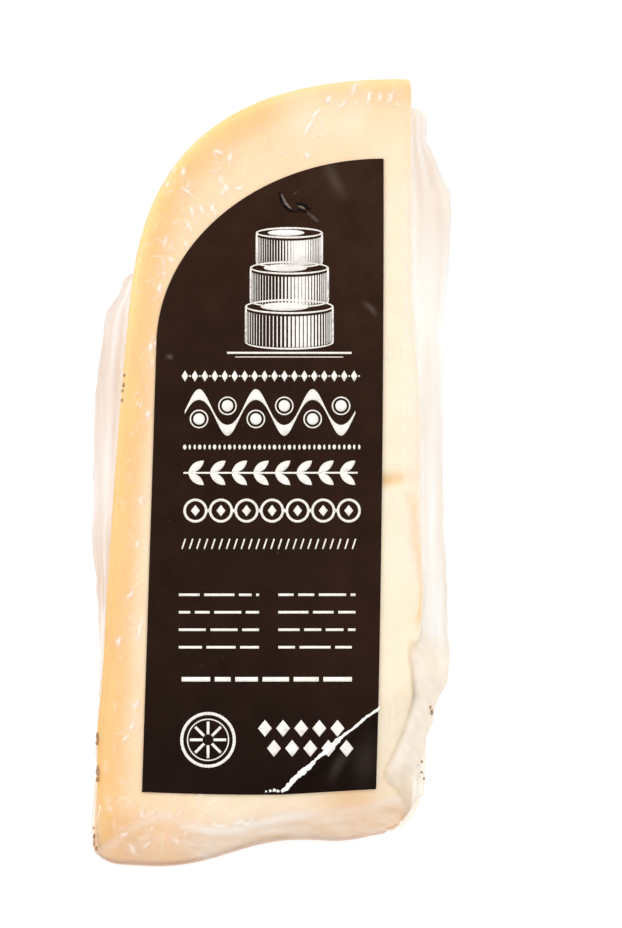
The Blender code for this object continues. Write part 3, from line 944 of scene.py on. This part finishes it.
def make_film():
    """The film over the whole wedge, drawn tight, with its wrinkles."""
    data = remeshed(FILM_GRID)
    points = refine(data, 0.0, film_is_fine)
    h, r, turn = to_wheel(points)
    on_top = grow(share_of_top(h, r, turn), 0.75, 0.95)
    sides = 1 - on_top
    height = np.zeros(len(h))
    milk_and_highlight = np.zeros(len(h))
    # Each stroke raises a wrinkle and whitens the film along it: milky film, and in part a painted highlight
    for path, half, rise, cloud in marked_strokes() + scattered_strokes() + fold_strokes():
        field = path_field(h, r, path, half)
        height = np.maximum(height, rise * field)
        milk_and_highlight = np.maximum(milk_and_highlight, cloud * field)
    past_fold = side_of_path(r, -h, [(r0, -h0) for h0, r0 in TIP_FOLD])
    below = grow(-past_fold, -0.2, 2.2) * (r < TIP_END)
    # Milky white along the fold's edge, in part a painted highlight
    lip = (0.25 + 0.3 * (grow(h, 14, 22) * fade(h, 34, 40))) * bell(past_fold + 1.0, 0.9) * (r < TIP_END)
    seam = 0.28 * fade(h, 1.2, 2.2) * grow(r, 60, 70) * fade(r, 128, 140)
    corner = 0.25 * grow(h, 51.0, 52.8) * fade(r, 27, 33)
    milk_and_highlight = np.maximum.reduce([milk_and_highlight, lip, seam, corner]) * on_top
    x, y, z = points.T
    ripple = 1 - np.abs(noise_at(x, y, z * 2.2, 7.0, 4))
    side_height = 0.3 * grow(ripple, 0.75, 1.0) * sides * grow(z, 0.8, 3.0)
    loose = 0.3 * (grow(h, 46.0, 50.0) * grow(z, 0.5, 2.5) * sides) * bell(r - 26.0, 5.0)
    height = height * on_top * ~under_label(h, r, -0.1) + side_height + loose
    set_points(data, points + normals_of(data) * (height + 0.2 * below * on_top)[:, None])
    store(data, "milk_and_highlight", milk_and_highlight + 0.25 * side_height + 0.5 * loose)
    patches = 0.75 + 0.5 * noise_at(h, r, 0.0, 4.5, 18)
    store(data, "gather", (0.55 - 0.33 * grow(h, 30, 42)) * below * patches)
    store(data, "hem", 0.8 * fade(r - tip_edge(h), 0.1, 0.6) * (r < TIP_END))
    return piece("film_wrap", data, [film_material()], ["cheese_wedge"])


def make_label():
    """The label: a thin sheet on the film that bends with it at the crease."""
    straight = np.arange(0.0, 1.0, LABEL_STEP / (LABEL_ARC_START - LABEL_BOTTOM))
    arc = np.radians(np.linspace(0, LABEL_LAST_TURN, LABEL_ARC_ROWS))
    across = np.linspace(0, 1, round((LABEL_LEFT_BOTTOM - LABEL_RIGHT) / LABEL_STEP))
    h_rows, r_rows = [], []
    for share in straight:
        r = LABEL_BOTTOM + (LABEL_ARC_START - LABEL_BOTTOM) * share
        h = label_right(r) + (label_left(r) - label_right(r)) * across
        h_rows.append(h)
        r_rows.append(r + (label_bottom(h) - LABEL_BOTTOM) * (1 - share) ** 4)
    for turn in arc:
        r = LABEL_ARC_START + (LABEL_TOP - LABEL_ARC_START) * math.sin(turn)
        h_rows.append(label_right(r) + (label_left(r) - label_right(r)) * across)
        r_rows.append(np.full(len(across), r))
    h, r = np.concatenate(h_rows), np.concatenate(r_rows)
    faces = grid_faces(len(h_rows), len(across))[:, ::-1]
    data = mesh_of("label_sheet", on_label(h, r, 0.0), faces)
    # Painted light and shade: lighter towards the top and the right, much darker beyond the crease, where the
    # corner tilts away
    beyond = grow(past_crease(h, r), 0.0, 0.8)
    painted_light_share = 0.15 + 0.33 * grow(r, 32, 62) + 0.35 * grow(r, 88, 130)
    painted_light_share = (painted_light_share + 0.15 * fade(h, 8, 26)) * (1 - 0.85 * beyond)
    # Painted reflection streaks along the listed paths
    painted_reflection = np.zeros(len(h))
    for path, half, strength in LABEL_PAINTED_REFLECTIONS:
        painted_reflection = np.maximum(painted_reflection, strength * path_field(h, r, path, half))
    store(data, "painted_light_share", painted_light_share)
    store(data, "painted_reflection", painted_reflection)
    edge = paper_material("label_paper_edge", colour(205, 188, 172), 0.9, 1.0)
    made = piece("label_sheet", data, [label_material(), edge], ["label"])
    sheet = thicken(made, LABEL_THICKNESS, -1.0)
    sheet.material_offset_rim = 1
    return made


def label_relief(h, r):
    """How far the label rises at each point: in folds at its corner, at its crease and at its curl."""
    past = past_crease(h, r)
    folds = 0.1 * grow(past, 0.6, 3.0) * np.sin(past * 2.1 + 1.5 * noise_at(h, r, 0.0, 5.0, 3))
    curl = path_field(h, r, CURL, 0.6)
    return np.maximum(0.0, folds) + 0.12 * curl + 0.12 * bell(past, 0.45)


def on_label(h, r, lift):
    """World points that far above the label."""
    return on_face(h, r, LABEL_LIFT + LABEL_THICKNESS + label_relief(h, r) + lift)


class Print:
    """Flat shapes in the label's plane: a runs to the right from the middle plane and b towards the rim."""

    def __init__(self):
        self.mesh = bmesh.new()
        self.shade = 0

    def shape(self, points):
        """A face with those corners, in the shade that is set."""
        self.mesh.faces.new([self.mesh.verts.new((a, b, 0)) for a, b in points]).material_index = self.shade

    def bar(self, start, end, width):
        """A straight stroke of that width."""
        start, end = Vector(start), Vector(end)
        side = (end - start).normalized().orthogonal() * width / 2
        self.shape([start + side, end + side, end - side, start - side])

    def streak(self, path, width):
        """A stroke along a path, widest at its middle."""
        path = [Vector(point) for point in path]
        last = len(path) - 1
        sides = []
        for i, point in enumerate(path):
            run = path[min(i + 1, last)] - path[max(i - 1, 0)]
            half = width / 2 * (0.2 + 0.8 * math.sin(math.pi * (i + 0.4) / (last + 0.8)))
            out = run.normalized().orthogonal() * half
            sides.append((point + out, point - out))
        for (left, right), (next_left, next_right) in zip(sides, sides[1:]):
            self.shape([left, next_left, next_right, right])

    def oval(self, a, b, across, up, steps=28):
        turns = [2 * math.pi * i / steps for i in range(steps)]
        self.shape([(a + across * math.cos(turn), b + up * math.sin(turn)) for turn in turns])

    def ring(self, a, b, across, up, width, start=0.0, stop=2 * math.pi, steps=44):
        """A ring or part of one, as a band of that width inside the oval."""
        for i in range(steps):
            corners = []
            for turn, inset in ((i, 0), (i + 1, 0), (i + 1, width), (i, width)):
                angle = start + (stop - start) * turn / steps
                corners.append((a + (across - inset) * math.cos(angle), b + (up - inset) * math.sin(angle)))
            self.shape(corners)

    def leaf(self, a, b, length, width, angle):
        """A pointed leaf that starts at (a, b)."""
        steps = 8
        sides = []
        for side in (1, -1):
            order = range(steps + 1) if side == 1 else range(steps - 1, 0, -1)
            for i in order:
                x = length * i / steps
                y = side * width / 2 * math.sin(math.pi * i / steps) ** 0.8
                sides.append((a + x * math.cos(angle) - y * math.sin(angle),
                              b + x * math.sin(angle) + y * math.cos(angle)))
        self.shape(sides)

    def lozenge(self, a, b, across, up):
        self.shape([(a - across, b), (a, b - up), (a + across, b), (a, b + up)])

    def cut_up(self, step):
        """Cuts the shapes so that they can bend with the label."""
        cuts = [((i * step, 0, 0), (1, 0, 0)) for i in range(-30, 0)]
        cuts += [((0, i * step, 0), (0, 1, 0)) for i in range(20, 90)]
        start, end = [Vector((-h, r, 0)) for h, r in (CREASE_RIGHT, CREASE_LEFT)]
        normal = (end - start).cross(Vector((0, 0, 1))).normalized()
        cuts += [(start + normal * side * PRINT_STEP_AT_CREASE, normal) for side in range(-3, 4)]
        for place, direction in cuts:
            everything = self.mesh.verts[:] + self.mesh.edges[:] + self.mesh.faces[:]
            bmesh.ops.bisect_plane(self.mesh, geom=everything, plane_co=place, plane_no=direction, dist=0.001)


def draw_wheels(ink, a, bottom):
    """A stack of three cheeses in the manner of an engraving, with hatched sides."""
    gap, lines = 0.9, 34
    base = bottom
    for half, tall in ((7.4, 6.0), (6.6, 5.6), (5.6, 5.0)):
        flat = half * 0.17
        top = base + tall
        ink.ring(a, top, half, flat, 0.32)
        ink.ring(a, base, half, flat, 0.3, math.pi, 2 * math.pi, 30)
        for x in (a - half + 0.15, a + half - 0.15):
            ink.bar((x, base), (x, top), 0.3)
        for i in range(1, lines):
            place = math.pi * i / lines
            x = a - half * math.cos(place)
            drop = flat * math.sin(place)
            width = 0.1 + 0.42 * bell(math.cos(place) + 0.25, 0.42)
            ink.bar((x, base - drop + 0.35), (x, top - drop - 0.4), width)
        ink.oval(a - half * 0.1, top, half * 0.55, flat * 0.55)
        base = top + gap


def draw_label():
    """The label's generic print: cheeses on a board, bands of ornament, columns of dashes and two marks."""
    ink = Print()
    draw_wheels(ink, -20.6, 105.6)
    ink.bar((-31.0, 103.8), (-10.2, 103.8), 0.34)
    ink.bar((-29.6, 103.1), (-11.6, 103.1), 0.14)
    for i in range(18):
        ink.lozenge(-38.0 + i * 1.66, 99.9, 0.55, 0.95)
        ink.oval(-37.17 + i * 1.66, 99.9, 0.16, 0.16, 8)
    draw_wave(ink, -38.0, -9.6, 93.8)
    for i in range(36):
        ink.oval(-38.0 + i * 0.83, 88.0, 0.2 + 0.1 * (i % 3 == 0), 0.42, 10)
    for i in range(8):
        for lean in (38, -38):
            ink.leaf(-37.4 + i * 3.6, 83.7, 3.3, 1.35, math.radians(lean))
    ink.bar((-38.2, 83.7), (-9.2, 83.7), 0.3)
    for i in range(7):
        a = -36.2 + i * 4.25
        ink.ring(a, 77.4, 2.0, 2.0, 0.42)
        ink.lozenge(a, 77.4, 0.75, 0.95)
        if i < 6:
            ink.oval(a + 2.125, 77.4, 0.3, 0.3, 12)
    for i in range(24):
        a = -38.4 + i * 1.23
        ink.bar((a, 71.0), (a + 0.55, 72.7), 0.24)
    for row in range(4):
        for column, (start, stop) in enumerate(((-38.9, -25.6), (-22.4, -9.6))):
            dash_row(ink, 63.4 - 2.9 * row, 0.42, start, stop, 2 * row + column + 1)
    dash_row(ink, 49.4, 0.75, -38.4, -10.2, 9)
    for i in range(5):
        ink.lozenge(-24.6 + i * 3.0, 41.3, 1.15, 1.4)
        ink.lozenge(-23.1 + i * 3.0, 38.0, 1.15, 1.4)
    hub = Vector((-34.0, 39.4))
    ink.ring(*hub, 4.6, 4.6, 0.5)
    ink.ring(*hub, 3.5, 3.5, 0.2)
    for i in range(8):
        turn = math.pi * i / 4
        spoke = Vector((math.cos(turn), math.sin(turn)))
        ink.bar(hub + spoke * 0.9, hub + spoke * 3.0, 0.45)
    return ink


def draw_wave(ink, start, stop, b):
    """A bold wave of swelling width, with a disc in each of its hollows."""
    steps, crests, tall = 150, 3.0, 3.0
    rows = []
    for i in range(steps + 1):
        share = i / steps
        swing = math.sin(2 * math.pi * crests * share)
        a = start + (stop - start) * share
        heavy = 0.28 + 0.62 * swing**2
        rows.append((a, b + tall * swing + heavy, b + tall * swing - heavy))
    for (a0, high0, low0), (a1, high1, low1) in zip(rows, rows[1:]):
        ink.shape([(a0, low0), (a1, low1), (a1, high1), (a0, high0)])
    for i in range(6):
        a = start + (stop - start) * (i + 0.5) / (2 * crests)
        side = 1 if i % 2 == 0 else -1
        ink.oval(a, b - side * 1.1, 0.95, 0.95, 24)
        ink.ring(a, b - side * 1.1, 1.55, 1.55, 0.22)


def dash_row(ink, b, tall, start, stop, seed):
    """A row of plain dashes of uneven length."""
    draw = np.random.default_rng(seed)
    a = start
    while a < stop:
        end = min(stop, a + draw.uniform(1.6, 5.2))
        ink.bar((a, b), (end, b), tall)
        a = end + 0.75


def laid_on_label(name, ink, lift, thickness, finishes):
    """The shapes of ink as a piece that lies that far above the label."""
    data = mesh_from(name, ink.mesh)
    flat = points_of(data) * MM
    set_points(data, on_label(-flat[:, 0], flat[:, 1], lift))
    return piece(name, data, finishes, thickness=thickness)


def make_print():
    """The print, a hair above the label."""
    ink = draw_label()
    ink.cut_up(PRINT_STEP)
    finish = paper_material("print_ink", colour(252, 246, 238), 0.86, 1.0)
    return laid_on_label("label_print", ink, PRINT_LIFT, PRINT_THICKNESS, [finish])


def make_curl_shading():
    """Painted shadow and highlights where the label curls."""
    ink = Print()
    for path, width, shade in CURL_SHADING:
        ink.shade = shade
        ink.streak([(-h, r) for h, r in path], width)
    # A painted shadow, a dim painted highlight and a bright painted highlight
    dark = paper_material("curl_painted_shadow", colour(12, 7, 5), 0.8, 1.0)
    dim = paper_material("curl_painted_dim_highlight", colour(78, 67, 60), 0.7, 1.0)
    light = paper_material("curl_painted_highlight", colour(122, 110, 102), 0.7, 1.0)
    return laid_on_label("label_curl_shading", ink, CURL_SHADING_LIFT, CURL_SHADING_THICKNESS, [dark, dim, light])


def make_crease():
    """A white jagged strip along the label's crease, and white flecks along its bottom edge."""
    steps = 220
    share = np.linspace(-0.02, 1.0, steps)
    start, end = np.array(CREASE_RIGHT), np.array(CREASE_LEFT)
    along = (end - start) / np.linalg.norm(end - start)
    across = np.array((along[1], -along[0]))
    wander = -0.35 * np.sin(math.pi * np.clip(share, 0, 1)) + 0.2 * noise_at(share * 40, 0.0, 0.0, 4.0, 6)
    wander = wander + 0.12 * noise_at(share * 40, 0.0, 0.0, 1.3, 7)
    wide = 0.38 + 0.6 * bell(share - 0.47, 0.09) + 0.5 * grow(share, 0.6, 0.75)
    wide = wide * (1 - 0.5 * grow(share, 0.93, 1.0))
    wide = wide * (1 + 0.35 * noise_at(share * 60, 0.0, 0.0, 1.6, 8))
    middle = start + share[:, None] * (end - start) + across * wander[:, None]
    rows = []
    for side in (-1, -0.5, 0, 0.5, 1):
        ragged = 1 + 0.3 * noise_at(share * 90, side, 0.0, 1.0, 9)
        rows.append(middle + across * (side * np.maximum(0.1, wide * ragged))[:, None] / 2)
    places, faces = np.concatenate(rows), grid_faces(5, steps).tolist()
    for h, r, half in CREASE_FLECKS:
        first = len(places)
        corners = np.array(((-half, -0.15), (half, -0.2), (0.6 * half, half), (-0.7 * half, 0.7 * half)))
        places = np.concatenate([places, corners + (h, r)])
        faces.append([first, first + 1, first + 2, first + 3])
    data = mesh_of("label_crease", on_label(places[:, 0], places[:, 1], CREASE_LIFT), faces)
    finish = paper_material("crease_white", colour(255, 252, 248), 0.94, 1.0)
    return piece("label_crease", data, [finish], thickness=CREASE_THICKNESS)


def make_fin(name, stations, side, finish):
    """A fin of doubled film that stands out of one side, with folds along it."""
    stations = np.array(stations)
    r, across, faces = strip_grid(stations, FIN_STEP, FIN_COLUMNS)
    outer = np.interp(r, stations[:, 0], stations[:, 1])
    inner = 0.02 + (swell(r, fin_level(r)) if side > 0 else rind_height(r))
    out = inner + (outer - inner) * across
    wave = FIN_WAVE * across * np.sin(2 * math.pi * r / FIN_WAVE_LENGTH)
    pleat = noise_at(across * 4.0, r / 30.0, 0.0, 1.0, 11 + side)
    pleat = pleat + 0.4 * noise_at(out, r / 9.0, 0.0, 0.8, 13 + side)
    ragged = 0.25 * noise_at(r, 0.0, 0.0, 3.0, 15 + side) * across
    flat = to_world(-side * (out + ragged), r, fin_level(r) * WEDGE_ANGLE)
    flat[:, 2] += wave + 0.3 * pleat * grow(across, 0.0, 0.15)
    data = mesh_of(name, flat, faces)
    # Painted light: the tint is lighter along the edge by the wedge, where the wedge shades the fin; the left
    # fin's turns duller outwards and the right fin's towards the rim
    tone_and_painted_light = 0.5 * grow(r, 118, 132) - 0.3 * bell(across, 0.3) if side > 0 else 0.9 * across - 0.35
    store(data, "fold", 0.3 + 0.55 * pleat + tone_and_painted_light)
    under_bunch = 0.7 * fade(r, 40.0, 46.0) if side > 0 else 0.0
    store(data, "cover", (0.8 + 0.1 * pleat) * (1 - under_bunch))
    node = name.replace("_sheet", "").replace("fin_", "film_fin_")
    return piece(name, data, [finish], [node], FILM_THICKNESS)


def make_bunch(finish):
    """Film crumpled over the lower right edge, out to the fin's edge, and a fringe round the corner."""
    start, end, fin = np.array(BUNCH_START), np.array(BUNCH_END), np.array(RIGHT_FIN)
    r, across, faces = strip_grid(start, BUNCH_STEP, BUNCH_COLUMNS)
    inner = -np.interp(r, start[:, 0], start[:, 1])
    round_corner = -np.interp(r, end[:, 0], end[:, 1])
    outer = np.where(r < end[-1, 0], round_corner, np.interp(r, fin[:, 0], fin[:, 1]) + 0.05)
    x = inner + (outer - inner) * across
    h = np.maximum(0.0, -x)
    points = to_world(h, r, top_turn(h, r, dent(h, r)))
    edge_turn = top_turn(0.5 + 0.0 * r, r, 0.0)
    low = np.minimum(r * math.sin(FIN_LEVEL * WEDGE_ANGLE), 0.6 * r * np.sin(edge_turn) + 0.2)
    fall = np.clip((x + 0.6) / np.maximum(0.5, outer + 0.6), 0.0, 1.0) ** 1.25
    crumple = 1 - np.abs(noise_at(x + 0.5 * r, 0.5 * r - 0.25 * x, 0.0, 2.3, 21)) * 1.7
    crumple = 0.7 * crumple + 0.3 * noise_at(x, r, 0.0, 1.0, 22)
    lift = 0.04 + 0.38 * grow(across, 0.0, 0.35) + 0.12 * grow(across, 0.8, 1.0)
    rough = 0.5 * np.maximum(-0.3, crumple) * grow(across, 0.05, 0.2)
    points[:, 0] = PLANE_X + x
    points[:, 2] += (low - points[:, 2]) * fall
    points[:, 2] += (lift + rough) * (1 - 0.85 * grow(r, 54, 58)) - 1.1 * grow(r, 56.0, 58.3)
    data = mesh_of("film_bunch", points, faces)
    # Painted light and shade: the tint follows the crumples, lighter and duller with their relief
    store(data, "fold", 0.5 + 0.5 * crumple)
    cover = 0.9 * grow(x - inner, 0.0, 1.5) * fade(r, 53, 57)
    store(data, "cover", cover * (1 - 0.7 * (fade(r, 31, 38) * fade(across, 0.6, 0.95))))
    return piece("film_bunch", data, [finish], thickness=0.5 * FILM_THICKNESS)


def add_speck(mesh, centre, size):
    """A small lump, a little uneven."""
    made = bmesh.ops.create_icosphere(mesh, subdivisions=3, radius=1.0)
    for vertex in made["verts"]:
        lump = 1 + 0.35 * noise.noise(vertex.co * 1.7 + centre * 40)
        vertex.co = Vector((vertex.co[i] * size[i] * lump for i in range(3))) * MM + centre * MM


def make_specks():
    """Brown specks on the rind's edge and on the film's edge."""
    mesh = bmesh.new()
    for r, degrees, inset, wide, half in RIND_SPECKS:
        place = to_world(rind_height(r) - inset, r, math.radians(degrees))[0]
        add_speck(mesh, Vector(place), (wide, half, SPECK_HEIGHT))
    for r, out, lift, half in FIN_SPECKS:
        place = to_world(-out, r, FIN_LEVEL * WEDGE_ANGLE)[0]
        size = (FIN_SPECK_WIDTH, half, FIN_SPECK_HEIGHT)
        add_speck(mesh, Vector(place) + Vector((0, 0, lift)), size)
    return piece("rind_specks", mesh_from("rind_specks", mesh), [speck_material()])


# Stage

def make_floor():
    """A plain pale floor, lit so that it is nearly white."""
    mesh = bmesh.new()
    bmesh.ops.create_grid(mesh, x_segments=1, y_segments=1, size=4.0)
    floor = placed("floor", mesh_from("floor", mesh))
    floor.location.z = -FLOOR_DROP * MM
    s = Shading("floor_white")
    matt = s.shader("BsdfDiffuse", {"Color": (0.35, 0.35, 0.35, 1)})
    glow = s.shader("Emission", {"Color": (1, 1, 1, 1), "Strength": FLOOR_LIGHT})
    floor.data.materials.append(s.finish(s.shader("AddShader", {0: matt, 1: glow})))


def add_light(name, place, size, strength):
    """A square softbox at place in mm, turned to the wedge."""
    data = bpy.data.lights.new(name, "AREA")
    data.shape = "SQUARE"
    data.size = size * MM
    data.energy = strength
    light = placed(name, data)
    light.location = Vector(place) * MM
    light.rotation_euler = (Vector(LIGHT_AIM) - Vector(place)).to_track_quat("-Z", "Y").to_euler()


def make_lights():
    """A bright even dome, and softboxes that the film's wrinkles catch."""
    world = bpy.data.worlds.new("studio")
    world.use_nodes = True
    inputs = world.node_tree.nodes["Background"].inputs
    inputs["Color"].default_value = (1, 1, 1, 1)
    inputs["Strength"].default_value = DOME_LIGHT
    bpy.context.scene.world = world
    for softbox in SOFTBOXES:
        add_light(*softbox)
    bpy.context.scene.view_settings.view_transform = "Standard"


def make_camera():
    """The photograph's view: from above, tilted 20 degrees from straight down."""
    aim = to_world(AIM_H, AIM_R, WEDGE_ANGLE)[0]
    back = np.array((0.0, -math.cos(CAMERA_ELEVATION), math.sin(CAMERA_ELEVATION)))
    data = bpy.data.cameras.new("camera")
    data.sensor_fit = "VERTICAL"
    data.sensor_height = SENSOR_HEIGHT
    data.lens = SENSOR_HEIGHT * CAMERA_DISTANCE / (PHOTO_HEIGHT * MM_PER_PIXEL)
    data.clip_start = 0.01
    camera = placed("camera", data)
    camera.location = Vector(aim + back * CAMERA_DISTANCE) * MM
    camera.rotation_euler = Vector(-back).to_track_quat("-Z", "Y").to_euler()
    bpy.context.scene.camera = camera


def main():
    make_camera()
    make_lights()
    make_floor()
    make_cheese()
    make_film()
    make_label()
    make_print()
    make_curl_shading()
    make_crease()
    lengthwise, even = (1, 5, 1), (1, 1, 1)
    # The last number of each film material is the strength of its painted glow
    right = fin_material("film_right", colour(253, 254, 253), colour(247, 239, 232), lengthwise, 0.015)
    left = fin_material("film_left", colour(253, 252, 252), colour(245, 238, 235), lengthwise, 0.03)
    # The crumpled film's tints paint the light and shade of its crumples
    bunch = fin_material("film_crumpled", colour(255, 252, 244), colour(246, 234, 219), even, 0.055)
    make_fin("fin_right_sheet", RIGHT_FIN, 1, right)
    make_fin("fin_left_sheet", LEFT_FIN, -1, left)
    make_bunch(bunch)
    make_specks()


main()
